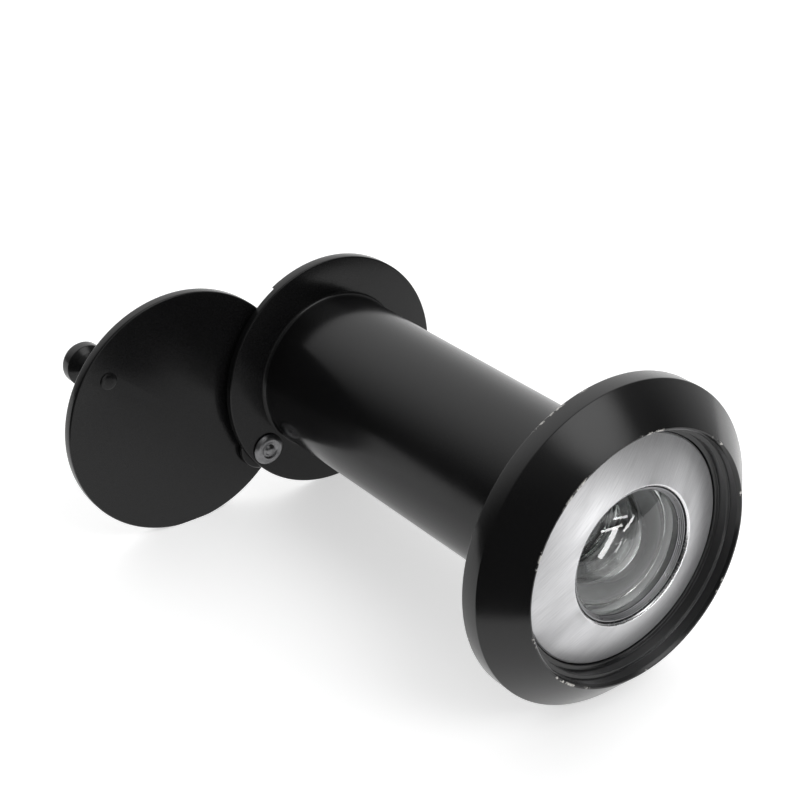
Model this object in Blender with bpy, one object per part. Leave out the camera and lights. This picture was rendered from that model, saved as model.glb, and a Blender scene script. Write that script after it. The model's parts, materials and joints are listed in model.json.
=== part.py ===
"""Screw-together door viewer with a swinging cover.

The viewer's axis is the world Y axis. The origin is the middle of the outer flange's seat, the face that
lies against the outside of the door. The lens looks along -Y and the eyepiece is at +Y. Every size below
is in millimetres. A depth is a distance along +Y from the outer flange's seat.
"""
import math

import bmesh
import bpy
from mathutils import Matrix, Vector

MM = 0.001

# Driving dimensions.
FLANGE_RADIUS = 13.0
RIM_WIDTH = 1.6
LIP_RADIUS = 10.28
LIP_DEPTH = -4.19
BARREL_RADIUS = 7.0
BARREL_WALL = 0.58
CLOSED_LENGTH = 34.4
INNER_FLANGE_RADIUS = 10.4
INNER_FLANGE_THICKNESS = 1.02
RELIEF_DEPTH = 0.4
COVER_RADIUS = 10.6
COVER_THICKNESS = 0.97
PIVOT_RADIUS = 8.82
PIVOT_ANGLE = math.radians(216.8)
OPEN_SWING = math.radians(106.2)
LENS_RADIUS = 5.34
OPENING_RADIUS = 5.44
SLEEVE_SOCKET = 0.25
GAP = 0.05

# Sizes that follow from them.
INNER_BACK = CLOSED_LENGTH + INNER_FLANGE_THICKNESS
RELIEF_FACE = INNER_BACK - RELIEF_DEPTH
WASHER_FRONT = RELIEF_FACE + GAP
WASHER_BACK = WASHER_FRONT + 0.55
COVER_FRONT = WASHER_BACK + GAP
COVER_BACK = COVER_FRONT + COVER_THICKNESS
SPRING_FRONT = COVER_BACK + GAP
SPRING_BACK = SPRING_FRONT + 0.26
TUBE_RADIUS = 6.3
TUBE_BORE = LENS_RADIUS + 0.06
TUBE_END = 30.0
DISH_BACK = -2.05
LENS_SEAT = -2.7
KNOB_OFFSET = 8.3
RIVET_HOLE = 0.78
KNOB_HOLE = 0.58

PIVOT = Vector((PIVOT_RADIUS * math.cos(PIVOT_ANGLE), PIVOT_RADIUS * math.sin(PIVOT_ANGLE)))
COVER_ANGLE = PIVOT_ANGLE - math.pi + OPEN_SWING
COVER_DIRECTION = Vector((math.cos(COVER_ANGLE), math.sin(COVER_ANGLE)))

FINE = 64
MEDIUM = 40
SMALL = 20
# Local +Z of every turned piece becomes world -Y, so a piece's height is its depth with the sign changed.
TURN = Matrix.Rotation(math.radians(90.0), 4, "X")


def material(name, colour, roughness, metallic=0.0, transmission=0.0):
    made = bpy.data.materials.new(name)
    made.use_nodes = True
    shader = made.node_tree.nodes["Principled BSDF"]
    shader.inputs["Base Color"].default_value = (*colour, 1.0)
    shader.inputs["Roughness"].default_value = roughness
    shader.inputs["Metallic"].default_value = metallic
    shader.inputs["Transmission Weight"].default_value = transmission
    return made


def add_object(name, mesh, surface, parent=None):
    mesh.materials.append(surface)
    piece = bpy.data.objects.new(name, mesh)
    bpy.context.scene.collection.objects.link(piece)
    piece.parent = parent
    piece.matrix_local = TURN
    return piece


def turned(name, outline, surface, segments=MEDIUM, parent=None):
    """Turn an outline of (radius, depth) points round the piece's own axis.

    An outline that starts and ends on the axis makes a solid. Any other outline is closed into a ring.
    """
    shape = bmesh.new()
    points = [shape.verts.new((radius * MM, 0.0, -depth * MM)) for radius, depth in outline]
    lines = [shape.edges.new(pair) for pair in zip(points, points[1:])]
    if outline[0][0] > 0.0:
        lines.append(shape.edges.new((points[-1], points[0])))
    bmesh.ops.spin(shape, geom=points + lines, cent=(0, 0, 0), axis=(0, 0, 1), steps=segments,
                   angle=2 * math.pi, use_merge=True)
    bmesh.ops.remove_doubles(shape, verts=shape.verts, dist=1e-7)
    bmesh.ops.recalc_face_normals(shape, faces=shape.faces)
    mesh = bpy.data.meshes.new(name)
    shape.to_mesh(mesh)
    shape.free()
    mesh.shade_smooth()
    mesh.set_sharp_from_angle(angle=math.radians(28.0))
    return add_object(name, mesh, surface, parent)


def ring(name, outer, inner, front, back, surface, segments=MEDIUM, parent=None, chamfer=0.0):
    outline = [(outer - chamfer, front), (outer, front + chamfer), (outer, back - chamfer),
               (outer - chamfer, back), (inner, back), (inner, front)]
    if chamfer == 0.0:
        outline = [(outer, front), (outer, back), (inner, back), (inner, front)]
    return turned(name, outline, surface, segments, parent)


def arc(start, end, bulge, count=5):
    """Points of a shallow arc between two (radius, depth) points, one of them on the axis.

    bulge is the depth by which the surface at the axis differs from its edge; the arc is a true circle.
    """
    (r0, d0), (r1, d1) = start, end
    edge = max(r0, r1)
    radius = (edge ** 2 + bulge ** 2) / (2 * abs(bulge))
    apex = d0 if r0 == 0.0 else d1
    sign = math.copysign(1.0, bulge)
    steps = [r0 + (r1 - r0) * i / count for i in range(count + 1)]
    return [(r, apex + sign * (radius - math.sqrt(radius ** 2 - r ** 2))) for r in steps]


def cut(piece, cutter):
    """Take the cutter's volume out of the piece and leave the cutter as a wire guide."""
    cutter.hide_render = True
    cutter.display_type = "WIRE"
    step = piece.modifiers.new("cut " + cutter.name, "BOOLEAN")
    step.operation = "DIFFERENCE"
    step.solver = "EXACT"
    step.object = cutter


def pin_cutter(name, radius, front, back, place, surface, parent=None):
    """A plain round cutter whose axis stands at place, an (x, z) pair in millimetres."""
    cutter = turned(name, [(0.0, front), (radius, front), (radius, back), (0.0, back)], surface, SMALL, parent)
    cutter.location = Vector((place[0], 0.0, place[1])) * MM
    return cutter


def outer_flange(paint):
    outline = [
        (LIP_RADIUS, LIP_DEPTH), (FLANGE_RADIUS, -RIM_WIDTH), (FLANGE_RADIUS, -0.15),
        (FLANGE_RADIUS - 0.15, 0.0), (BARREL_RADIUS + 0.15, 0.0), (BARREL_RADIUS + 0.15, -0.35),
        (TUBE_RADIUS + 0.1, -0.35), (TUBE_RADIUS + 0.1, -1.2),
        (7.2, -1.2), (7.2, -2.0), (9.3, -2.0), (9.3, -2.42), (9.62, -2.45), (9.66, -3.2), (9.94, -3.25),
        (10.0, -3.95), (10.16, LIP_DEPTH + 0.03),
    ]
    turned("outer_flange", outline, paint, FINE)


def trim_dish(steel):
    outline = [
        (OPENING_RADIUS + 0.12, -3.49), (9.1, -2.34), (9.22, -2.24), (9.22, DISH_BACK),
        (OPENING_RADIUS, DISH_BACK), (OPENING_RADIUS, -3.38),
    ]
    turned("trim_dish", outline, steel, FINE)


def objective_cell(glass, anodised, alloy, rubber):
    """The lens stack, from the outdoor end: ring, lens, spacer, lens, spacer, lens and gasket."""
    steps = [
        (LENS_RADIUS, -3.25), (LENS_RADIUS, LENS_SEAT - GAP), (5.0, LENS_SEAT - GAP), (5.0, -2.92),
        (5.12, -2.92), (5.12, -3.09), (5.23, -3.09), (5.23, -3.25),
    ]
    turned("objective_ring", steps, anodised)
    front = arc((0.0, -3.75), (4.95, -2.85), 0.9)
    back = arc((4.3, 0.4), (0.0, -2.0), 2.4)
    rim = [(4.97, LENS_SEAT), (LENS_RADIUS, LENS_SEAT), (LENS_RADIUS, 0.4)]
    turned("objective_lens", front + rim + back, glass)
    ring("spacer_ring_1", LENS_RADIUS, 4.6, 0.45, 2.35, alloy)
    front = arc((0.0, 3.0), (4.4, 2.4), -0.6)
    back = arc((4.2, 4.0), (0.0, 3.6), 0.4)
    turned("middle_lens", front + [(LENS_RADIUS, 2.4), (LENS_RADIUS, 4.0)] + back, glass)
    ring("spacer_ring_2", LENS_RADIUS, 4.6, 4.05, 5.85, alloy)
    front = arc((0.0, 5.0), (4.5, 5.9), 0.9)
    turned("rear_lens", front + [(LENS_RADIUS, 5.9), (LENS_RADIUS, 7.2), (0.0, 7.2)], glass)
    ring("lens_gasket", LENS_RADIUS, 4.4, 7.25, 8.35, rubber)


def threaded_tube(metal):
    """Collared tube pressed into the outer flange; an inner shoulder carries the lens stack."""
    outline = [
        (7.1, -2.0), (7.1, -1.25), (TUBE_RADIUS, -1.25), (TUBE_RADIUS, TUBE_END - 0.3),
        (TUBE_RADIUS - 0.3, TUBE_END), (TUBE_BORE, TUBE_END), (TUBE_BORE, 9.6), (4.7, 9.6),
        (4.7, 8.4), (TUBE_BORE, 8.4), (TUBE_BORE, -2.0),
    ]
    turned("threaded_tube", outline, metal)


def inner_sleeve(paint):
    bore = BARREL_RADIUS - BARREL_WALL
    ring("inner_sleeve", BARREL_RADIUS, bore, 0.1, CLOSED_LENGTH + SLEEVE_SOCKET - GAP, paint, FINE)


def inner_flange(paint):
    """Flange with a hub in the sleeve, an eyepiece hole, a rivet hole and half of its back cut lower."""
    outline = [
        (INNER_FLANGE_RADIUS, CLOSED_LENGTH), (INNER_FLANGE_RADIUS, INNER_BACK), (4.5, INNER_BACK),
        (3.9, INNER_BACK - 0.6), (3.9, 33.9), (5.0, 33.9), (5.0, 31.5), (6.35, 31.5),
        (6.35, CLOSED_LENGTH + SLEEVE_SOCKET), (BARREL_RADIUS + GAP, CLOSED_LENGTH + SLEEVE_SOCKET),
        (BARREL_RADIUS + GAP, CLOSED_LENGTH),
    ]
    flange = turned("inner_flange", outline, paint, FINE)
    cut(flange, pin_cutter("rivet_hole", RIVET_HOLE, CLOSED_LENGTH - 1.0, INNER_BACK + 1.0, PIVOT, paint))
    size = 4 * INNER_FLANGE_RADIUS
    box = bmesh.new()
    bmesh.ops.create_cube(box, size=size * MM)
    # The box's near side is a chord 1.27 mm past the centre, square to the line to the pivot.
    middle = Vector((size / 2 - 1.27, 0.0, -(RELIEF_FACE + size / 2)))
    bmesh.ops.translate(box, verts=box.verts, vec=middle * MM)
    bmesh.ops.rotate(box, verts=box.verts, cent=(0, 0, 0), matrix=Matrix.Rotation(PIVOT_ANGLE, 3, "Z"))
    mesh = bpy.data.meshes.new("relief")
    box.to_mesh(mesh)
    box.free()
    cut(flange, add_object("relief", mesh, paint))


def eyepiece(glass, anodised):
    front = arc((0.0, 32.7), (4.3, 33.0), 0.3)
    back = [(4.94, 33.0), (4.94, 33.85), (0.0, 33.85)]
    turned("eyepiece_lens", front + back, glass)
    ring("eyepiece_ring", 4.94, 3.9, 31.55, 32.6, anodised)
    ring("field_stop", LENS_RADIUS, 2.6, 28.4, 29.4, anodised)


def pivot_pieces(steel, paint, spring):
    """The rivet that the cover swings on, its washer and the springy washer under its back head."""
    hinge = bpy.data.objects.new("pivot_axis", None)
    hinge.location = Vector((PIVOT.x, 0.0, PIVOT.y)) * MM
    bpy.context.scene.collection.objects.link(hinge)
    head = CLOSED_LENGTH - GAP
    outline = [
        (0.0, head - 0.42), (0.45, head - 0.44), (0.62, head - 0.6), (1.1, head - 0.5), (1.4, head - 0.18),
        (1.4, head), (0.7, head), (0.7, SPRING_BACK + GAP), (1.25, SPRING_BACK + GAP),
        (1.25, SPRING_BACK + 0.3), (0.8, SPRING_BACK + 0.5), (0.0, SPRING_BACK + 0.55),
    ]
    turned("pivot_rivet", outline, steel, SMALL, hinge)
    ring("pivot_washer", 2.15, RIVET_HOLE, WASHER_FRONT, WASHER_BACK, paint, SMALL, hinge, 0.08)
    ring("spring_washer", 1.6, RIVET_HOLE, SPRING_FRONT, SPRING_BACK, spring, SMALL, hinge)
    return hinge


def cover(paint, hinge):
    """Cover disc and its knob; both have their origin on the rivet's axis."""
    centre = COVER_DIRECTION * PIVOT_RADIUS
    knob = COVER_DIRECTION * (PIVOT_RADIUS + KNOB_OFFSET)
    edge = 0.1
    outline = [
        (0.0, COVER_FRONT), (COVER_RADIUS - edge, COVER_FRONT), (COVER_RADIUS, COVER_FRONT + edge),
        (COVER_RADIUS, COVER_BACK - edge), (COVER_RADIUS - edge, COVER_BACK), (0.0, COVER_BACK),
    ]
    disc = turned("cover_disc", outline, paint, FINE, hinge)
    shift = Matrix.Translation(Vector((centre.x, centre.y, 0.0)) * MM)
    disc.data.transform(shift)
    low, high = COVER_FRONT - 1.0, COVER_BACK + 1.0
    cut(disc, pin_cutter("cover_rivet_hole", RIVET_HOLE, low, high, (0.0, 0.0), paint, hinge))
    cut(disc, pin_cutter("cover_knob_hole", KNOB_HOLE, low, high, knob, paint, hinge))
    base = COVER_BACK + GAP
    outline = [
        (0.0, COVER_FRONT - 0.17), (0.55, COVER_FRONT - 0.17), (0.8, COVER_FRONT - GAP),
        (0.5, COVER_FRONT - GAP), (0.5, base), (1.15, base), (1.15, base + 0.3), (0.85, base + 0.5),
        (0.85, base + 1.5), (1.35, base + 2.1), (1.8, base + 2.5), (1.8, base + 3.4),
        (1.55, base + 3.85), (0.95, base + 4.1), (0.0, base + 4.15),
    ]
    piece = turned("cover_knob", outline, paint, SMALL, hinge)
    piece.data.transform(Matrix.Translation(Vector((knob.x, knob.y, 0.0)) * MM))


def build():
    for old in list(bpy.data.objects):
        bpy.data.objects.remove(old, do_unlink=True)
    paint = material("black_paint", (0.018, 0.018, 0.019), 0.3)
    steel = material("bright_steel", (0.62, 0.62, 0.63), 0.25, metallic=1.0)
    anodised = material("black_anodised", (0.02, 0.02, 0.021), 0.45)
    alloy = material("satin_aluminium", (0.6, 0.6, 0.61), 0.35, metallic=1.0)
    brass = material("blackened_brass", (0.05, 0.047, 0.042), 0.4, metallic=0.6)
    spring = material("spring_steel", (0.35, 0.35, 0.36), 0.35, metallic=1.0)
    rubber = material("rubber", (0.012, 0.012, 0.012), 0.8)
    glass = material("lens_glass", (0.95, 0.97, 0.96), 0.02, transmission=1.0)
    outer_flange(paint)
    trim_dish(steel)
    objective_cell(glass, anodised, alloy, rubber)
    threaded_tube(brass)
    inner_sleeve(paint)
    inner_flange(paint)
    eyepiece(glass, anodised)
    hinge = pivot_pieces(steel, paint, spring)
    cover(paint, hinge)


build()
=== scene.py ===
"""Looks of the screw-together door viewer: fine turned surfaces, materials, light and camera."""
import json
import math

import bmesh
import bpy
import numpy as np
from mathutils import Matrix, Vector

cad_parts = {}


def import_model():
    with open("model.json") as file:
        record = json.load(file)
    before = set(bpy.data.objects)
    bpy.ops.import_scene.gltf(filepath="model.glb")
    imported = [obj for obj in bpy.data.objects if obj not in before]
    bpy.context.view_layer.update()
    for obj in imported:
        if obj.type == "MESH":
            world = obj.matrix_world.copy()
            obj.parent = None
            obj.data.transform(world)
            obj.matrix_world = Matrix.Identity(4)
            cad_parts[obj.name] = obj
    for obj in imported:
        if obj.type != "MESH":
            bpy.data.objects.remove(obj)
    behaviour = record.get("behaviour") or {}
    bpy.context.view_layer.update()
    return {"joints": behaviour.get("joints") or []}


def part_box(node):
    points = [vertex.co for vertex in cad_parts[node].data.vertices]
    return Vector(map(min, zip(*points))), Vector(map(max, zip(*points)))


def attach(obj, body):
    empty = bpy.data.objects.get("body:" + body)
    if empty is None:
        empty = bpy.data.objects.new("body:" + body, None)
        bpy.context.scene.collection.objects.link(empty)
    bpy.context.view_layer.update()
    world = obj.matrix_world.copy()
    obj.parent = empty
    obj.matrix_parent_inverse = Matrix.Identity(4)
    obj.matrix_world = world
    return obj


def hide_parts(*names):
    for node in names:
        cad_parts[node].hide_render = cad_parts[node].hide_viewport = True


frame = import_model()

MM = 0.001
# Local +Z of a turned piece is world -Y, out towards the lens. A depth is measured along world +Y.
TURN = Matrix.Rotation(math.radians(90.0), 4, "X")


def size_of(node):
    low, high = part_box(node)
    return low / MM, high / MM


def joint_named(name):
    return next(j for j in frame["joints"] if j["name"] == name)


# Main sizes, in millimetres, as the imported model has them.
FLANGE_LOW, FLANGE_HIGH = size_of("outer_flange")
FLANGE_RADIUS = FLANGE_HIGH.x
LIP_DEPTH = FLANGE_LOW.y
LIP_RADIUS = 10.28
SOCKET_RADIUS = 7.15
SOCKET_DEPTH = -0.35
DOOR_BORE = 6.4
OPENING_RADIUS = 5.44
RIM_WIDTH = 1.6
BARREL_RADIUS = size_of("inner_sleeve")[1].x
INNER_RADIUS = size_of("inner_flange")[1].x
INNER_BACK = size_of("inner_flange")[1].y
INNER_THICKNESS = 1.02
CLOSED_LENGTH = INNER_BACK - INNER_THICKNESS
RELIEF_FACE = INNER_BACK - 0.4
DISH_LOW, DISH_HIGH = size_of("trim_dish")
TUBE_RADIUS = 6.3
TUBE_BORE = 5.4
SLEEVE_WALL = 0.58
RELIEF_CHORD = 1.27
RIVET_HOLE = 0.78
KNOB_HOLE = 0.58
TUBE_END = size_of("threaded_tube")[1].y
THREAD_PITCH = 1.0
LENS_RADIUS = size_of("objective_lens")[1].x
OBJECTIVE_FRONT = size_of("objective_lens")[0].y
SLEEVE_FRONT, SLEEVE_BACK = size_of("inner_sleeve")[0].y, size_of("inner_sleeve")[1].y
WASHER_LOW, WASHER_HIGH = size_of("pivot_washer")
COVER_LOW, COVER_HIGH = size_of("cover_disc")
COVER_RADIUS = (COVER_HIGH.x - COVER_LOW.x) / 2
COVER_CENTRE = ((COVER_LOW.x + COVER_HIGH.x) / 2, (COVER_LOW.z + COVER_HIGH.z) / 2)
KNOB_LOW, KNOB_HIGH = size_of("cover_knob")
KNOB_CENTRE = ((KNOB_LOW.x + KNOB_HIGH.x) / 2, (KNOB_LOW.z + KNOB_HIGH.z) / 2)
RIVET_LOW, RIVET_HIGH = size_of("pivot_rivet")
SPRING_LOW, SPRING_HIGH = size_of("spring_washer")
PIVOT = tuple(joint_named("cover_swing")["pos_m"][i] / MM for i in (0, 2))


# ---------------------------------------------------------------- turned shapes

def corner(before, at, after, radius, count):
    """Points of a circular arc that rounds the corner at `at`."""
    a = Vector(before) - Vector(at)
    b = Vector(after) - Vector(at)
    half = a.angle(b) / 2
    if radius <= 0.0 or half > math.radians(88.0):
        return [tuple(at)]
    reach = min(radius / math.tan(half), 0.45 * a.length, 0.45 * b.length)
    radius = reach * math.tan(half)
    middle = Vector(at) + (a.normalized() + b.normalized()).normalized() * (radius / math.sin(half))
    first = Vector(at) + a.normalized() * reach - middle
    last = Vector(at) + b.normalized() * reach - middle
    sweep = first.angle_signed(last)
    points = []
    for i in range(count + 1):
        points.append(tuple(middle + Matrix.Rotation(-sweep * i / count, 2) @ first))
    return points


def rounded(outline, radius, closed=True, count=3):
    """The outline with each corner rounded; radius is one number, or one for each point."""
    radii = radius if isinstance(radius, (list, tuple)) else [radius] * len(outline)
    points = []
    last = len(outline) - 1
    for i, at in enumerate(outline):
        if not closed and i in (0, last):
            points.append(at)
            continue
        points += corner(outline[i - 1], at, outline[(i + 1) % len(outline)], radii[i], count)
    return points


def arc(edge, apex, rim, count=14, outward=False):
    """Points of a spherical surface between the axis, at depth apex, and radius edge, at depth rim."""
    bulge = rim - apex
    radius = (edge ** 2 + bulge ** 2) / (2 * abs(bulge))
    sign = math.copysign(1.0, bulge)
    steps = [edge * i / count for i in range(count + 1)]
    points = [(r, apex + sign * (radius - math.sqrt(radius ** 2 - r ** 2))) for r in steps]
    return points if outward else points[::-1]


def spun_mesh(name, outline, segments, radius_at=None):
    """A closed mesh made by turning (radius, depth) points.

    radius_at(radius, depth, angle) may reshape it.
    """
    solid = outline[0][0] < 1e-9
    inner = outline[1:-1] if solid else outline
    turns = np.arange(segments) * 2 * math.pi / segments
    verts = []
    for r, d in inner:
        for t in turns:
            radius = radius_at(r, d, t) if radius_at else r
            verts.append((radius * math.cos(t) * MM, radius * math.sin(t) * MM, -d * MM))
    faces = []
    rows = len(inner)
    for i in range(rows - 1 if solid else rows):
        here, there = i * segments, ((i + 1) % rows) * segments
        for k in range(segments):
            n = (k + 1) % segments
            faces.append((here + k, there + k, there + n, here + n))
    if solid:
        front, back = len(verts), len(verts) + 1
        verts += [(0.0, 0.0, -outline[0][1] * MM), (0.0, 0.0, -outline[-1][1] * MM)]
        end = (rows - 1) * segments
        for k in range(segments):
            n = (k + 1) % segments
            faces.append((front, k, n))
            faces.append((back, end + n, end + k))
    mesh = bpy.data.meshes.new(name)
    mesh.from_pydata(verts, [], faces)
    mesh.update()
    return mesh


def face_outward(mesh):
    shape = bmesh.new()
    shape.from_mesh(mesh)
    bmesh.ops.recalc_face_normals(shape, faces=shape.faces)
    shape.to_mesh(mesh)
    shape.free()


def finish_piece(name, mesh, surface, body, node, centre=(0.0, 0.0)):
    face_outward(mesh)
    mesh.shade_smooth()
    mesh.set_sharp_from_angle(angle=math.radians(32.0))
    mesh.materials.clear()
    mesh.materials.append(surface)
    piece = bpy.data.objects.new(name, mesh)
    bpy.context.scene.collection.objects.link(piece)
    piece.matrix_world = Matrix.Translation((centre[0] * MM, 0.0, centre[1] * MM)) @ TURN
    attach(piece, body)
    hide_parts(node)
    return piece


def turned(node, outline, surface, body, segments=128, centre=(0.0, 0.0), radius_at=None):
    mesh = spun_mesh(node + "_fine", outline, segments, radius_at)
    return finish_piece(node + "_fine", mesh, surface, body, node, centre)


def second_surface(piece, surface, chosen):
    """Give another material to the faces for which chosen(radius, depth, facing) holds.

    facing is the part of the face's normal along depth.
    """
    piece.data.materials.append(surface)
    for face in piece.data.polygons:
        radius = face.center.xy.length / MM
        if chosen(radius, -face.center.z / MM, -face.normal.z):
            face.material_index = 1


def lens(node, outline, clear, ground, body, flat_from=LENS_RADIUS):
    """A turned lens whose cylindrical rim is ground, and so is its flat back outside radius flat_from."""
    piece = turned(node, outline, clear, body, 160)

    def is_ground(radius, depth, facing):
        return abs(facing) < 0.2 or (facing > 0.9 and radius > flat_from)

    second_surface(piece, ground, is_ground)


def cut_mesh(mesh, cutters):
    """The mesh less each cutter mesh, with the exact Boolean."""
    holder = bpy.data.objects.new("holder", mesh)
    bpy.context.scene.collection.objects.link(holder)
    tools = []
    for cutter in cutters:
        tool = bpy.data.objects.new("tool", cutter)
        bpy.context.scene.collection.objects.link(tool)
        step = holder.modifiers.new("cut", "BOOLEAN")
        step.operation = "DIFFERENCE"
        step.solver = "EXACT"
        step.object = tool
        tools.append(tool)
    graph = bpy.context.evaluated_depsgraph_get()
    result = bpy.data.meshes.new_from_object(holder.evaluated_get(graph))
    for thing in tools + [holder]:
        bpy.data.objects.remove(thing)
    return result


def pin_mesh(radius, front, back, place=(0.0, 0.0)):
    outline = [(0.0, front), (radius, front), (radius, back), (0.0, back)]
    mesh = spun_mesh("pin", outline, 40)
    mesh.transform(Matrix.Translation((place[0] * MM, place[1] * MM, 0.0)))
    face_outward(mesh)
    return mesh


# ---------------------------------------------------------------- materials

class Surface:
    """A Principled material with a few short-hands for its nodes. Coordinates are local, in millimetres."""

    def __init__(self, name, colour, roughness, metallic=0.0):
        self.material = bpy.data.materials.new(name)
        self.material.use_nodes = True
        self.tree = self.material.node_tree
        self.shader = self.tree.nodes["Principled BSDF"]
        self.shader.inputs["Base Color"].default_value = (*colour, 1.0)
        self.shader.inputs["Roughness"].default_value = roughness
        self.shader.inputs["Metallic"].default_value = metallic
        place = self.tree.nodes.new("ShaderNodeTexCoord")
        scale = self.tree.nodes.new("ShaderNodeVectorMath")
        scale.operation = "SCALE"
        scale.inputs["Scale"].default_value = 1000.0
        self.tree.links.new(place.outputs["Object"], scale.inputs[0])
        self.point = scale.outputs[0]

    def set(self, **values):
        for name, value in values.items():
            self.shader.inputs[name.replace("_", " ")].default_value = value

    def link(self, output, name):
        self.tree.links.new(output, self.shader.inputs[name])

    def math(self, operation, a, b=0.0, c=0.0):
        node = self.tree.nodes.new("ShaderNodeMath")
        node.operation = operation
        for socket, value in zip(node.inputs, (a, b, c)):
            if isinstance(value, (int, float)):
                socket.default_value = value
            else:
                self.tree.links.new(value, socket)
        return node.outputs[0]

    def polar(self):
        """Radius, angle in turns and height of the point about the piece's own axis."""
        split = self.tree.nodes.new("ShaderNodeSeparateXYZ")
        self.tree.links.new(self.point, split.inputs[0])
        x, y, z = split.outputs
        radius = self.math("SQRT", self.math("ADD", self.math("MULTIPLY", x, x), self.math("MULTIPLY", y, y)))
        angle = self.math("DIVIDE", self.math("ARCTAN2", y, x), 2 * math.pi)
        return radius, angle, z

    def joined(self, x, y, z):
        node = self.tree.nodes.new("ShaderNodeCombineXYZ")
        for socket, value in zip(node.inputs, (x, y, z)):
            if isinstance(value, (int, float)):
                socket.default_value = value
            else:
                self.tree.links.new(value, socket)
        return node.outputs[0]

    def noise(self, scale, detail=3.0, rough=0.5, vector=None, distortion=0.0):
        node = self.tree.nodes.new("ShaderNodeTexNoise")
        node.inputs["Scale"].default_value = scale
        node.inputs["Detail"].default_value = detail
        node.inputs["Roughness"].default_value = rough
        node.inputs["Distortion"].default_value = distortion
        self.tree.links.new(vector or self.point, node.inputs["Vector"])
        return node.outputs["Fac"]

    def specks(self, scale, low, high):
        """Small round specks: 1 inside a speck and 0 outside."""
        node = self.tree.nodes.new("ShaderNodeTexVoronoi")
        node.inputs["Scale"].default_value = scale
        self.tree.links.new(self.point, node.inputs["Vector"])
        return self.ranged(node.outputs["Distance"], high, low, 0.0, 1.0)

    def ranged(self, value, low, high, to_low, to_high, smooth=True):
        node = self.tree.nodes.new("ShaderNodeMapRange")
        node.interpolation_type = "SMOOTHSTEP" if smooth else "LINEAR"
        self.tree.links.new(value, node.inputs["Value"])
        for name, number in (("From Min", low), ("From Max", high), ("To Min", to_low), ("To Max", to_high)):
            node.inputs[name].default_value = number
        return node.outputs["Result"]

    def mixed(self, factor, first, second):
        node = self.tree.nodes.new("ShaderNodeMix")
        node.data_type = "RGBA"
        self.tree.links.new(factor, node.inputs["Factor"])
        for socket, value in zip((node.inputs[6], node.inputs[7]), (first, second)):
            if isinstance(value, tuple):
                socket.default_value = (*value, 1.0)
            else:
                self.tree.links.new(value, socket)
        return node.outputs[2]

    def bump(self, *layers):
        """Bump from (height, strength, distance in mm) layers, each over the one before."""
        normal = None
        for height, strength, distance in layers:
            node = self.tree.nodes.new("ShaderNodeBump")
            node.inputs["Strength"].default_value = strength
            node.inputs["Distance"].default_value = distance * MM
            self.tree.links.new(height, node.inputs["Height"])
            if normal:
                self.tree.links.new(normal, node.inputs["Normal"])
            normal = node.outputs["Normal"]
        self.link(normal, "Normal")


def black_coat(name, specular, chips=()):
    """Semi-gloss black coating.

    Each chip is a ring where an edge is nicked: radius, width, height, thickness and amount.
    """
    made = Surface(name, (0.004, 0.004, 0.0042), 0.17)
    made.set(Specular_IOR_Level=specular)
    cloud = made.noise(0.22, 3.0, 0.5)
    peel = made.noise(2.6, 2.0, 0.5)
    grain = made.noise(16.0, 3.0, 0.6)
    dust = made.specks(1.7, 0.012, 0.03)
    speckle = made.ranged(grain, 0.35, 0.75, 0.0, 1.0)
    colour = made.mixed(speckle, (0.0072, 0.0072, 0.0075), (0.0120, 0.0120, 0.0124))
    colour = made.mixed(made.math("MULTIPLY", dust, 0.35), colour, (0.10, 0.10, 0.095))
    rough = made.math("ADD", made.ranged(cloud, 0.25, 0.75, 0.14, 0.20), made.math("MULTIPLY", grain, 0.05))
    layers = [(peel, 0.06, 0.02), (grain, 0.10, 0.004)]
    if chips:
        nicked = chip_mask(made, chips)
        colour = made.mixed(nicked, colour, (0.42, 0.41, 0.39))
        rough = made.math("ADD", rough, made.math("MULTIPLY", nicked, 0.12))
        made.link(nicked, "Metallic")
        layers.append((made.math("SUBTRACT", 1.0, nicked), 0.6, 0.03))
    made.link(colour, "Base Color")
    made.link(rough, "Roughness")
    made.bump(*layers)
    return made.material


def chip_mask(made, chips):
    """1 where a thin ring along an edge has lost its coating, in short broken stretches."""
    radius, _, height = made.polar()
    total = None
    for at, width, level, thickness, amount in chips:
        near = made.math("ABSOLUTE", made.math("SUBTRACT", radius, at))
        near = made.ranged(near, width * 0.5, width, 1.0, 0.0)
        level_near = made.math("ABSOLUTE", made.math("SUBTRACT", height, level))
        near = made.math("MULTIPLY", near, made.ranged(level_near, thickness * 0.5, thickness, 1.0, 0.0))
        patches = made.ranged(made.noise(0.30, 1.0, 0.5), amount, amount + 0.04, 0.0, 1.0)
        broken = made.ranged(made.noise(1.7, 4.0, 0.72), 0.50, 0.53, 0.0, 1.0)
        part = made.math("MULTIPLY", near, made.math("MULTIPLY", patches, broken))
        total = part if total is None else made.math("MAXIMUM", total, part)
    return total


BRUSH_ANGLE = math.radians(42.0)


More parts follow.
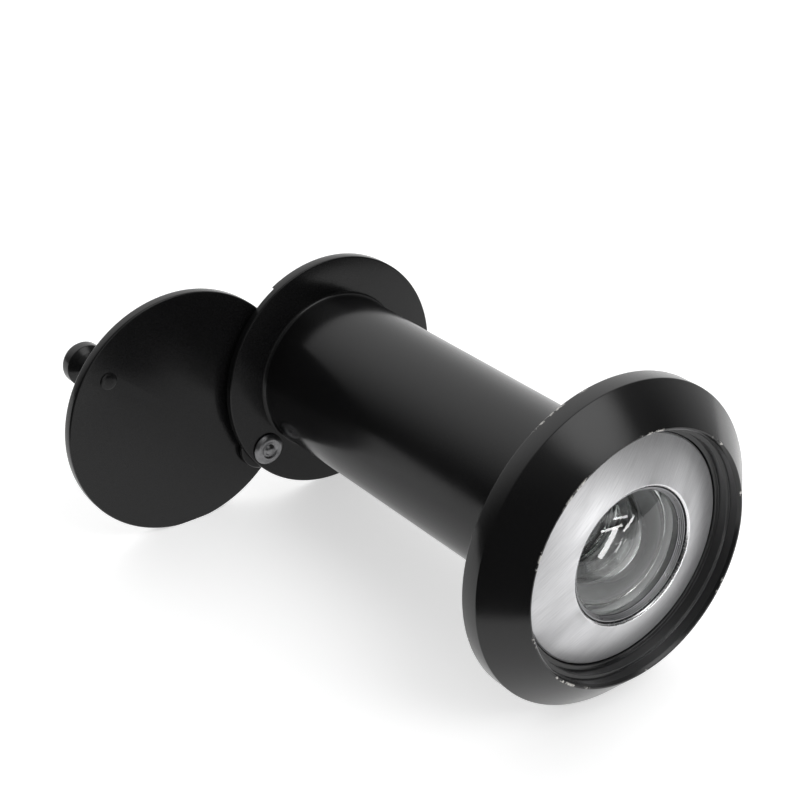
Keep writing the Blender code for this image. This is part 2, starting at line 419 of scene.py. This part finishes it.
def brushed_dish():
    """Satin steel, turned and then hand brushed in straight strokes, a little darker in patches near the
    glass.
    """
    made = Surface("brushed_steel", (0.72, 0.72, 0.73), 0.42, 0.85)
    radius, _, _ = made.polar()
    split = made.tree.nodes.new("ShaderNodeSeparateXYZ")
    made.tree.links.new(made.point, split.inputs[0])
    x, y = split.outputs[0], split.outputs[1]
    cos, sin = math.cos(BRUSH_ANGLE), math.sin(BRUSH_ANGLE)
    lengthways = made.math("ADD", made.math("MULTIPLY", x, cos), made.math("MULTIPLY", y, sin))
    crossways = made.math("SUBTRACT", made.math("MULTIPLY", y, cos), made.math("MULTIPLY", x, sin))
    strokes = made.noise(1.0, 4.0, 0.7, made.joined(made.math("MULTIPLY", lengthways, 0.5),
                                                    made.math("MULTIPLY", crossways, 13.0), 0.0))
    rings = made.noise(8.0, 3.0, 0.6, made.joined(radius, 0.0, 0.0))
    cloud = made.noise(1.0, 2.0, 0.5, made.joined(made.math("MULTIPLY", lengthways, 0.10),
                                                  made.math("MULTIPLY", crossways, 0.34), 0.0))
    # Darker in patches, in a ring next to the glass.
    near_glass = made.ranged(radius, 6.3, 5.7, 0.0, 1.0)
    darker_near_glass = made.math("MULTIPLY", near_glass, made.ranged(cloud, 0.45, 0.7, 0.0, 0.5))
    colour = made.mixed(made.ranged(strokes, 0.35, 0.7, 0.0, 1.0), (0.68, 0.68, 0.69), (0.57, 0.57, 0.58))
    colour = made.mixed(made.ranged(cloud, 0.40, 0.72, 0.0, 0.5), colour, (0.38, 0.38, 0.39))
    made.link(made.mixed(darker_near_glass, colour, (0.30, 0.30, 0.30)), "Base Color")
    base = made.ranged(cloud, 0.3, 0.7, 0.34, 0.42)
    made.link(made.math("ADD", base, made.math("MULTIPLY", strokes, 0.12)), "Roughness")
    made.bump((strokes, 0.16, 0.005), (rings, 0.06, 0.004))
    return made.material


def polished_edge():
    """The bright rounded edge of the dish's opening."""
    made = Surface("polished_edge", (0.74, 0.74, 0.75), 0.2, 1.0)
    radius, _, height = made.polar()
    made.link(made.ranged(made.noise(5.0, 3.0), 0.35, 0.7, 0.16, 0.30), "Roughness")
    made.bump((made.noise(9.0, 2.0, 0.6, made.joined(radius, 0.0, height)), 0.1, 0.004))
    return made.material


def turned_steel(name, colour, roughness):
    """Bare steel with concentric tool marks, for the rivet and the spring washer."""
    made = Surface(name, colour, roughness, 1.0)
    radius, _, height = made.polar()
    rings = made.noise(11.0, 3.0, 0.7, made.joined(radius, 0.0, height))
    stain = made.noise(1.6, 4.0, 0.6)
    dark = tuple(c * 0.5 for c in colour)
    made.link(made.mixed(made.ranged(stain, 0.45, 0.7, 0.0, 0.4), colour, dark), "Base Color")
    made.link(made.ranged(stain, 0.3, 0.7, roughness - 0.06, roughness + 0.12), "Roughness")
    made.bump((rings, 0.35, 0.02), (made.noise(9.0, 3.0), 0.15, 0.01))
    return made.material


def turned_metal(name, colour, roughness, metallic):
    """Machined metal with fine turning rings, anodised, blackened or bare as its colour says."""
    made = Surface(name, colour, roughness, metallic)
    radius, _, height = made.polar()
    rings = made.noise(16.0, 2.0, 0.6, made.joined(radius, 0.0, height))
    made.link(made.ranged(made.noise(1.2), 0.3, 0.7, roughness - 0.08, roughness + 0.08), "Roughness")
    light = tuple(min(1.0, c * 1.6) for c in colour)
    made.link(made.mixed(made.ranged(rings, 0.4, 0.7, 0.0, 1.0), colour, light), "Base Color")
    made.bump((rings, 0.2, 0.008))
    return made.material


def lens_glass():
    """Clear crown glass with faint surface dust."""
    made = Surface("lens_glass", (0.97, 0.985, 0.98), 0.0)
    made.set(Transmission_Weight=1.0, IOR=1.52, Specular_IOR_Level=0.5)
    patches = made.ranged(made.noise(0.9), 0.52, 0.66, 0.0, 1.0)
    dust = made.math("MULTIPLY", made.specks(2.4, 0.02, 0.06), patches)
    made.link(made.math("MULTIPLY", dust, 0.25), "Roughness")
    made.bump((made.noise(0.4, 0.0), 0.004, 0.01))
    return made.material


def ground_edge():
    """The ground rim of a lens: white, slightly see-through frosting with fine turning marks."""
    made = Surface("ground_glass", (0.86, 0.87, 0.87), 0.55)
    made.set(Transmission_Weight=0.35, IOR=1.5)
    _, angle, height = made.polar()
    rings = made.noise(12.0, 2.0, 0.6, made.joined(0.0, made.math("MULTIPLY", angle, 6.0), height))
    marks = made.ranged(rings, 0.35, 0.7, 0.0, 1.0)
    made.link(made.mixed(marks, (0.90, 0.91, 0.91), (0.66, 0.67, 0.67)), "Base Color")
    made.bump((rings, 0.2, 0.01))
    return made.material


def gasket_rubber():
    """Matt black rubber."""
    made = Surface("gasket_rubber", (0.012, 0.012, 0.012), 0.75)
    made.link(made.ranged(made.noise(2.0), 0.3, 0.7, 0.68, 0.82), "Roughness")
    made.bump((made.noise(8.0, 3.0), 0.3, 0.02))
    return made.material


# ---------------------------------------------------------------- pieces

def outer_half(looks):
    body = "outer_half"
    glass, ground = looks["glass"], looks["ground_glass"]
    seat = DISH_HIGH.y + 0.05
    outline = [
        (LIP_RADIUS, LIP_DEPTH), (FLANGE_RADIUS, -RIM_WIDTH), (FLANGE_RADIUS, 0.0),
        (SOCKET_RADIUS, 0.0), (SOCKET_RADIUS, SOCKET_DEPTH), (DOOR_BORE, SOCKET_DEPTH), (DOOR_BORE, -1.2),
        (7.2, -1.2), (7.2, seat), (9.3, seat), (9.3, -2.42), (9.62, -2.45), (9.66, -3.2), (9.94, -3.25),
        (10.0, -3.95), (10.16, LIP_DEPTH + 0.02),
    ]
    radii = [0.05, 0.14, 0.16, 0.05, 0.05, 0.05, 0.05, 0.05, 0.05, 0.05, 0.05, 0.04, 0.04, 0.04, 0.05, 0.04]
    turned("outer_flange", rounded(outline, radii, count=4), looks["nicked_coat"], body, 256)
    outline = [
        (5.60, DISH_LOW.y), (9.1, -2.34), (9.22, -2.24), (9.22, DISH_HIGH.y),
        (OPENING_RADIUS, DISH_HIGH.y), (OPENING_RADIUS, -3.36),
    ]
    outline = rounded(outline, [0.10, 0.08, 0.05, 0.05, 0.05, 0.08], count=5)
    piece = turned("trim_dish", outline, looks["dish"], body, 256)
    second_surface(piece, looks["polished_edge"], lambda radius, depth, facing: radius < 5.60)
    turned("objective_ring", stepped_ring(), looks["grey_anodised"], body, 160)
    front = arc(4.95, OBJECTIVE_FRONT, -2.85, outward=True)
    rim = [(4.97, -2.7), (LENS_RADIUS, -2.7), (LENS_RADIUS, 0.4)]
    lens("objective_lens", front + rim + arc(4.3, -2.0, 0.4), glass, ground, body)
    outline = [(LENS_RADIUS, 0.45), (LENS_RADIUS, 2.35), (4.62, 2.35), (4.62, 1.0), (4.5, 0.9), (4.4, 0.45)]
    turned("spacer_ring_1", rounded(outline, 0.05), looks["polished_alloy"], body)
    outline = arc(4.4, 3.0, 2.4, outward=True) + [(LENS_RADIUS, 2.4), (LENS_RADIUS, 4.0)] + arc(4.2, 3.6, 4.0)
    lens("middle_lens", outline, glass, ground, body, 4.2)
    outline = [(LENS_RADIUS, 4.05), (LENS_RADIUS, 5.85), (4.62, 5.85), (4.62, 5.2), (4.9, 5.1), (4.9, 4.05)]
    turned("spacer_ring_2", rounded(outline, 0.05), looks["polished_alloy"], body)
    outline = arc(4.5, 5.0, 5.9, outward=True) + [(LENS_RADIUS, 5.9), (LENS_RADIUS, 7.2), (0.0, 7.2)]
    lens("rear_lens", outline, glass, ground, body)
    outline = [(LENS_RADIUS, 7.25), (LENS_RADIUS, 8.35), (4.4, 8.35), (4.4, 7.25)]
    turned("lens_gasket", rounded(outline, 0.15), looks["rubber"], body)
    outline = [(LENS_RADIUS, 28.4), (LENS_RADIUS, 29.4), (2.8, 29.4), (2.6, 29.2), (2.9, 28.4)]
    turned("field_stop", rounded(outline, 0.05), looks["anodised"], body)
    threaded_tube(looks["brass"], looks["alloy"], body)


def stepped_ring():
    """Retaining ring in front of the objective: fine steps down to the glass, like a short inside thread."""
    outline = [(LENS_RADIUS, -3.25), (LENS_RADIUS, -2.75), (5.0, -2.75)]
    steps, tread, riser = 3, 0.075, 0.11
    radius, depth = 5.0, -2.9
    for _ in range(steps):
        outline.append((radius + 0.01, depth))
        outline.append((radius + tread, depth - 0.02))
        radius += tread
        depth -= riser
    outline.append((radius, -3.25))
    return rounded(outline, 0.015, count=2)


def threaded_tube(brass, bore, body):
    """Tube with a real helical thread outside, from just behind the flange to its free end."""
    start, end = 1.2, TUBE_END - 0.35
    depth_steps = int((end - start) / THREAD_PITCH * 10)
    outside = [(TUBE_RADIUS, start + (end - start) * i / depth_steps) for i in range(depth_steps + 1)]
    outline = [(7.1, -2.0), (7.1, -1.25), (TUBE_RADIUS, -1.25), (TUBE_RADIUS, 0.9)] + outside
    outline += [(TUBE_RADIUS - 0.3, TUBE_END), (TUBE_BORE, TUBE_END)]
    outline += [(TUBE_BORE, 9.6), (4.7, 9.6), (4.7, 8.4), (TUBE_BORE, 8.4), (TUBE_BORE, -2.0)]

    def thread(radius, depth, angle):
        if radius != TUBE_RADIUS or depth < start:
            return radius
        phase = (depth / THREAD_PITCH + angle / (2 * math.pi)) % 1.0
        groove = max(0.0, 1.0 - abs(phase - 0.5) * 2.6)
        fade = min(1.0, (depth - start) / 0.5)
        return radius - 0.36 * fade * groove

    piece = turned("threaded_tube", outline, brass, body, 96, radius_at=thread)
    second_surface(piece, bore, lambda radius, depth, facing: radius < TUBE_BORE + 0.05 and abs(facing) < 0.5)


def inner_half(looks):
    body = "inner_half"
    coat = looks["coat"]
    inner = BARREL_RADIUS - SLEEVE_WALL
    fillet = 0.3
    turns = [math.radians(15.0 * i) for i in range(7)]
    flare_start = CLOSED_LENGTH - 0.02 - fillet
    flare = [(fillet * (1 - math.cos(a)), fillet * math.sin(a)) for a in turns]
    outline = [(BARREL_RADIUS, SLEEVE_FRONT + 0.1)]
    outline += [(BARREL_RADIUS + out, flare_start + back) for out, back in flare]
    outline += [(BARREL_RADIUS, CLOSED_LENGTH - 0.02), (BARREL_RADIUS, SLEEVE_BACK), (inner, SLEEVE_BACK)]
    outline += [(inner, SLEEVE_FRONT), (BARREL_RADIUS - 0.1, SLEEVE_FRONT)]
    turned("inner_sleeve", outline, coat, body, 192)
    inner_flange(coat, body)
    outline = arc(4.3, 32.7, 33.0, outward=True) + [(4.94, 33.0), (4.94, 33.85), (0.0, 33.85)]
    turned("eyepiece_lens", outline, looks["glass"], "eyepiece", 128)
    outline = [(4.94, 31.55), (4.94, 32.6), (3.9, 32.6), (3.9, 31.8), (4.1, 31.55)]
    turned("eyepiece_ring", rounded(outline, 0.05), looks["anodised"], body)
    rivet(looks["rivet_steel"], body)
    outline = washer(2.15, WASHER_LOW.y, WASHER_HIGH.y)
    turned("pivot_washer", rounded(outline, 0.2, count=5), coat, body, 72, PIVOT)
    outline = washer(1.6, SPRING_LOW.y, SPRING_HIGH.y)
    turned("spring_washer", rounded(outline, 0.06), looks["washer_steel"], body, 64, PIVOT)


def washer(radius, front, back):
    return [(radius, front), (radius, back), (RIVET_HOLE, back), (RIVET_HOLE, front)]


def inner_flange(coat, body):
    outline = [
        (INNER_RADIUS, CLOSED_LENGTH), (INNER_RADIUS, INNER_BACK), (4.5, INNER_BACK), (3.9, INNER_BACK - 0.6),
        (3.9, 33.9), (5.0, 33.9), (5.0, 31.5), (6.35, 31.5), (6.35, CLOSED_LENGTH + 0.25),
        (BARREL_RADIUS + 0.05, CLOSED_LENGTH + 0.25), (BARREL_RADIUS + 0.05, CLOSED_LENGTH),
    ]
    radii = [0.12, 0.14, 0.08, 0.08, 0.03, 0.03, 0.1, 0.1, 0.03, 0.0, 0.0]
    mesh = spun_mesh("inner_flange_fine", rounded(outline, radii), 192)
    face_outward(mesh)
    size = 4 * INNER_RADIUS
    box = bmesh.new()
    bmesh.ops.create_cube(box, size=size * MM)
    middle = Vector((size / 2 - RELIEF_CHORD, 0.0, -(RELIEF_FACE + size / 2)))
    bmesh.ops.translate(box, verts=box.verts, vec=middle * MM)
    turn = Matrix.Rotation(math.atan2(PIVOT[1], PIVOT[0]), 3, "Z")
    bmesh.ops.rotate(box, verts=box.verts, cent=(0, 0, 0), matrix=turn)
    relief = bpy.data.meshes.new("relief")
    box.to_mesh(relief)
    box.free()
    hole = pin_mesh(RIVET_HOLE, CLOSED_LENGTH - 1.0, INNER_BACK + 1.0, PIVOT)
    mesh = cut_mesh(mesh, [relief, hole])
    mesh.name = "inner_flange_fine"
    finish_piece("inner_flange_fine", mesh, coat, body, "inner_flange")


def rivet(steel, body):
    head = CLOSED_LENGTH - 0.05
    tip = RIVET_LOW.y
    back = RIVET_HIGH.y
    outline = [
        (0.0, tip), (0.2, tip + 0.03), (0.38, tip + 0.14), (0.5, tip + 0.3), (0.62, tip + 0.32),
        (0.78, tip + 0.2), (0.98, tip + 0.17), (1.16, tip + 0.24), (1.3, tip + 0.36), (1.4, tip + 0.48),
        (1.4, head), (0.7, head), (0.7, back - 0.55), (1.25, back - 0.55), (1.25, back - 0.3),
        (1.05, back - 0.12), (0.7, back - 0.02), (0.0, back),
    ]
    turned("pivot_rivet", rounded(outline, 0.06, closed=False), steel, body, 96, PIVOT)


def cover(coat):
    body = "cover"
    low, high = COVER_LOW.y, COVER_HIGH.y
    outline = [(0.0, low), (COVER_RADIUS, low), (COVER_RADIUS, high), (0.0, high)]
    outline = rounded(outline, [0, 0.16, 0.2, 0], closed=False, count=5)
    mesh = spun_mesh("cover_disc_fine", outline, 256)
    face_outward(mesh)
    holes = []
    for place, radius in ((PIVOT, RIVET_HOLE), (KNOB_CENTRE, KNOB_HOLE)):
        offset = (place[0] - COVER_CENTRE[0], place[1] - COVER_CENTRE[1])
        holes.append(pin_mesh(radius, low - 1.0, high + 1.0, offset))
    mesh = cut_mesh(mesh, holes)
    mesh.name = "cover_disc_fine"
    finish_piece("cover_disc_fine", mesh, coat, body, "cover_disc", COVER_CENTRE)
    base = high + 0.05
    front = KNOB_LOW.y
    outline = [
        (0.0, front), (0.35, front + 0.01), (0.62, front + 0.05), (0.78, front + 0.11), (0.5, low - 0.04),
        (0.5, base), (1.15, base), (1.15, base + 0.3), (0.85, base + 0.5), (0.85, base + 1.5),
        (1.35, base + 2.1), (1.8, base + 2.5), (1.8, base + 3.4), (1.55, base + 3.85), (0.95, base + 4.1),
        (0.0, KNOB_HIGH.y),
    ]
    radii = [0, 0.3, 0.2, 0.02, 0.02, 0.03, 0.06, 0.08, 0.15, 0.3, 0.3, 0.12, 0.12, 0.3, 0.4, 0]
    outline = rounded(outline, radii, closed=False, count=4)
    turned("cover_knob", outline, coat, body, 72, KNOB_CENTRE)


# ---------------------------------------------------------------- stage, light and camera

FLOOR_TILT = math.radians(4.0)
SHEET_CORNER = Vector((35.0, -84.5, 0.0))
SHEET_TURN = math.radians(39.0)
SHEET_SIZE = 480.0
SHEET_GLOW = 0.56


def floor():
    """A plain pale sheet, lit softly from below like a light table. Its near left edge is just out of sight.

    The viewer rests on its big flange and its cover, so the sheet is tilted in this frame.
    It does not follow the poses, so the halves sink into it as they open.
    """
    turn = Matrix.Rotation(SHEET_TURN, 3, "Z")
    across = turn @ Vector((SHEET_SIZE, 0.0, 0.0))
    along = turn @ Vector((0.0, SHEET_SIZE, 0.0))
    corners = [SHEET_CORNER, SHEET_CORNER + across, SHEET_CORNER + across + along, SHEET_CORNER + along]
    mesh = bpy.data.meshes.new("table")
    mesh.from_pydata([c * MM for c in corners], [], [(0, 1, 2, 3)])
    table = bpy.data.objects.new("table", mesh)
    bpy.context.scene.collection.objects.link(table)
    foot = Vector((0.0, -RIM_WIDTH, -FLANGE_RADIUS - 0.02)) * MM
    table.matrix_world = Matrix.Translation(foot) @ Matrix.Rotation(FLOOR_TILT, 4, "X")
    made = Surface("table_top", (0.8, 0.8, 0.8), 0.6)
    paper = made.noise(0.02, 2.0)
    made.link(made.mixed(paper, (0.78, 0.78, 0.78), (0.82, 0.82, 0.82)), "Base Color")
    made.set(Specular_IOR_Level=0.1, Emission_Strength=SHEET_GLOW, Emission_Color=(1.0, 1.0, 1.0, 1.0))
    mesh.materials.append(made.material)


# Soft boxes of the studio's light: direction, full-strength and zero-strength angles in degrees, strength.
ROOM_LEVEL = 0.05
STUDIO = [
    ((0.45, 0.85, 0.35), 30.0, 75.0, 1.0),
    ((0.19, -0.6, 0.77), 7.0, 24.0, 2.6),
    ((0.0, 0.1, 1.0), 20.0, 75.0, 0.35),
    ((0.0, -1.0, 0.05), 8.0, 24.0, 1.1),
    ((1.0, 0.2, 0.15), 15.0, 45.0, 0.35),
]


def soft_box(tree, place, direction, inner, outer, strength):
    """The light of one soft box in each direction."""
    dot = tree.nodes.new("ShaderNodeVectorMath")
    dot.operation = "DOT_PRODUCT"
    tree.links.new(place, dot.inputs[0])
    dot.inputs[1].default_value = Vector(direction).normalized()
    ramp = tree.nodes.new("ShaderNodeMapRange")
    ramp.interpolation_type = "SMOOTHSTEP"
    tree.links.new(dot.outputs["Value"], ramp.inputs["Value"])
    ramp.inputs["From Min"].default_value = math.cos(math.radians(outer))
    ramp.inputs["From Max"].default_value = math.cos(math.radians(inner))
    ramp.inputs["To Max"].default_value = strength
    return ramp.outputs["Result"]


def world():
    """A dim room with large soft boxes, behind a white backdrop.

    The camera sees the white backdrop. The room shows only as light and in reflections.
    """
    scene = bpy.context.scene
    scene.world = bpy.data.worlds.new("studio")
    scene.world.use_nodes = True
    tree = scene.world.node_tree
    back = tree.nodes["Background"]
    back.inputs["Color"].default_value = (1.0, 1.0, 1.0, 1.0)
    place = tree.nodes.new("ShaderNodeTexCoord").outputs["Generated"]
    total = None
    for box in STUDIO:
        add = tree.nodes.new("ShaderNodeMath")
        add.operation = "ADD"
        tree.links.new(soft_box(tree, place, *box), add.inputs[0])
        if total is None:
            add.inputs[1].default_value = ROOM_LEVEL
        else:
            tree.links.new(total, add.inputs[1])
        total = add.outputs[0]
    path = tree.nodes.new("ShaderNodeLightPath")
    mix = tree.nodes.new("ShaderNodeMix")
    tree.links.new(path.outputs["Is Camera Ray"], mix.inputs["Factor"])
    tree.links.new(total, mix.inputs[2])
    mix.inputs[3].default_value = 1.0
    tree.links.new(mix.outputs[0], back.inputs["Strength"])


# Panes of bright window glass, low in front of the lens. Each shows as one stroke on the lens.
# A pane has a bearing from straight ahead, a rise above the axis and a tilt of its long side, all in degrees.
# Its length and width follow, in millimetres.
PANE_DISTANCE = 28.0
PANE_RADIANCE = 15.0
PANES = [
    (15, -15, 55, 11.0, 2.4),
    (33, -7, 33, 6.0, 1.0),
    (18, -5, -5, 9.0, 0.9),
    (26, 0, -13, 6.0, 0.7),
]


def window_pane(bearing, rise, tilt, length, width):
    bearing, rise, tilt = map(math.radians, (bearing, rise, tilt))
    data = bpy.data.lights.new("window_pane", "AREA")
    data.shape = "RECTANGLE"
    data.size, data.size_y = length * MM, width * MM
    data.energy = PANE_RADIANCE * math.pi * data.size * data.size_y
    lamp = bpy.data.objects.new("window_pane", data)
    bpy.context.scene.collection.objects.link(lamp)
    ahead = Vector((math.sin(bearing), -math.cos(bearing), 0.0))
    sideways = Vector((math.cos(bearing), math.sin(bearing), 0.0))
    away = ahead * math.cos(rise) + Vector((0.0, 0.0, math.sin(rise)))
    lengthways = sideways * math.cos(tilt) + away.cross(sideways) * math.sin(tilt)
    across = away.cross(lengthways)
    facing = Matrix((lengthways, across, away)).transposed().to_4x4()
    middle = Vector((0.0, OBJECTIVE_FRONT, 0.0)) + away * PANE_DISTANCE
    lamp.matrix_world = Matrix.Translation(middle * MM) @ facing


CAMERA_PLACE = Vector((-77.05, -81.19, 69.47))
CAMERA_AIM = Vector((-9.2, 11.96, 9.31))
CAMERA_ROLL = math.radians(-1.05)
FOCAL_LENGTH = 80.4


def camera():
    data = bpy.data.cameras.new("camera")
    data.lens = FOCAL_LENGTH
    data.sensor_width = 36.0
    data.clip_start = 0.005
    data.clip_end = 20.0
    view = bpy.data.objects.new("camera", data)
    bpy.context.scene.collection.objects.link(view)
    aim = (CAMERA_AIM - CAMERA_PLACE).to_track_quat("-Z", "Y").to_matrix().to_4x4()
    view.matrix_world = Matrix.Translation(CAMERA_PLACE * MM) @ aim @ Matrix.Rotation(CAMERA_ROLL, 4, "Z")
    bpy.context.scene.camera = view


def materials():
    lip_chips = (LIP_RADIUS - 0.05, 0.13, -LIP_DEPTH, 0.14, 0.54)
    rim_chips = (FLANGE_RADIUS, 0.1, 0.12, 0.16, 0.56)
    return {
        "coat": black_coat("black_coat", 0.30),
        "nicked_coat": black_coat("black_coat_nicked", 0.42, [lip_chips, rim_chips]),
        "dish": brushed_dish(),
        "polished_edge": polished_edge(),
        "rivet_steel": turned_steel("rivet_steel", (0.24, 0.24, 0.245), 0.32),
        "washer_steel": turned_steel("washer_steel", (0.35, 0.35, 0.36), 0.35),
        "anodised": turned_metal("black_anodised", (0.02, 0.02, 0.021), 0.38, 0.5),
        "grey_anodised": turned_metal("grey_anodised", (0.17, 0.17, 0.175), 0.34, 0.8),
        "alloy": turned_metal("satin_alloy", (0.5, 0.5, 0.51), 0.3, 1.0),
        "polished_alloy": turned_metal("polished_alloy", (0.97, 0.97, 0.97), 0.12, 1.0),
        "brass": turned_metal("blackened_brass", (0.06, 0.055, 0.048), 0.36, 0.7),
        "glass": lens_glass(),
        "ground_glass": ground_edge(),
        "rubber": gasket_rubber(),
    }


def build():
    looks = materials()
    outer_half(looks)
    inner_half(looks)
    cover(looks["coat"])
    floor()
    world()
    for pane in PANES:
        window_pane(*pane)
    camera()
    bpy.context.scene.view_settings.view_transform = "Standard"


build()
